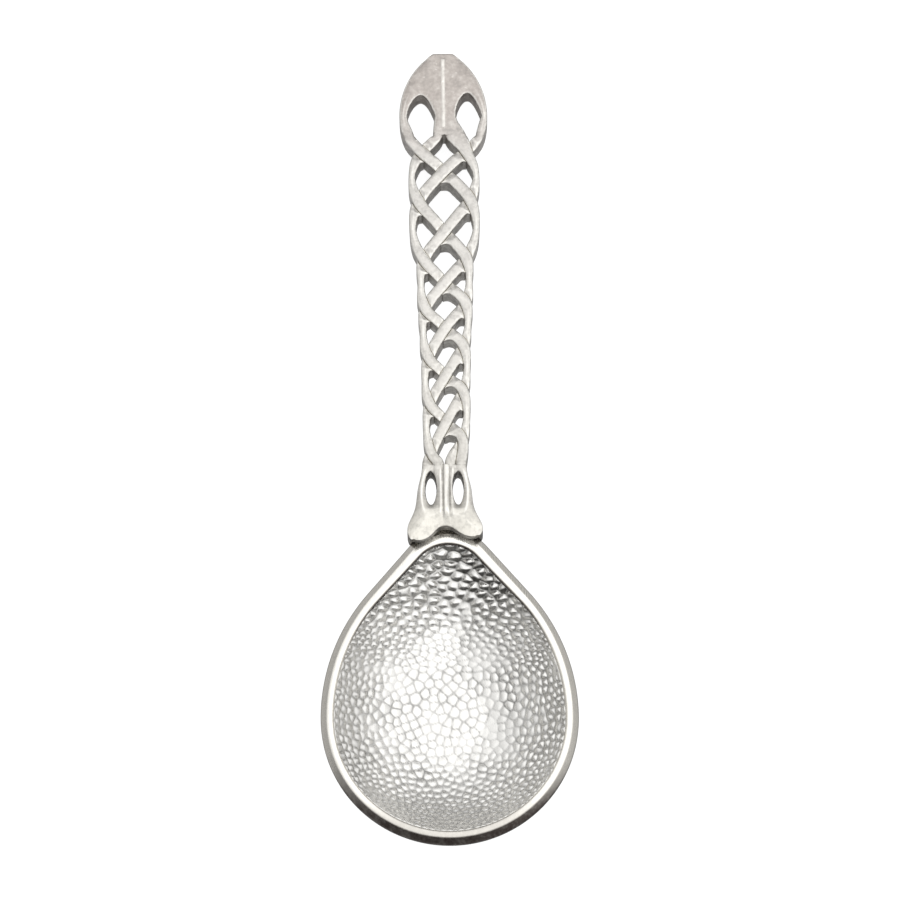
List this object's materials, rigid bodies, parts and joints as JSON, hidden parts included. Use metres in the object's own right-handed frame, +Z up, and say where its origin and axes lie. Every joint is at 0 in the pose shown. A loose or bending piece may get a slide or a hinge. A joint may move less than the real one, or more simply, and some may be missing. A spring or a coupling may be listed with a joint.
{
  "type": "love spoon",
  "caption": "Ornamental cast pewter love spoon with a pebbled pear-shaped bowl, a forked shoulder, an openwork plaited handle and a leaf finial with two eyes.",
  "frame": {"origin": "centre of the flat foot under the bowl, on the table", "axes": "+X to the right, +Y along the spoon from the bowl to the finial, +Z up out of the bowl"},
  "size_m": [0.0422, 0.1397, 0.0141],
  "materials": {
    "cast_pewter": "cast pewter, satin, dark in the recesses",
    "bright_pewter": "rubbed pewter, soft shine",
    "pebbled_pewter": "pebbled cast pewter, bright on the tops and dark in the grooves"
  },
  "bodies": {
    "root": {"spoon_bowl": "pebbled_pewter", "bowl_rim": "bright_pewter", "shoulder": "cast_pewter", "strand_outer_left": "cast_pewter", "strand_inner_left": "cast_pewter", "strand_inner_right": "cast_pewter", "strand_outer_right": "cast_pewter", "finial": "cast_pewter"}
  },
  "joints": []
}
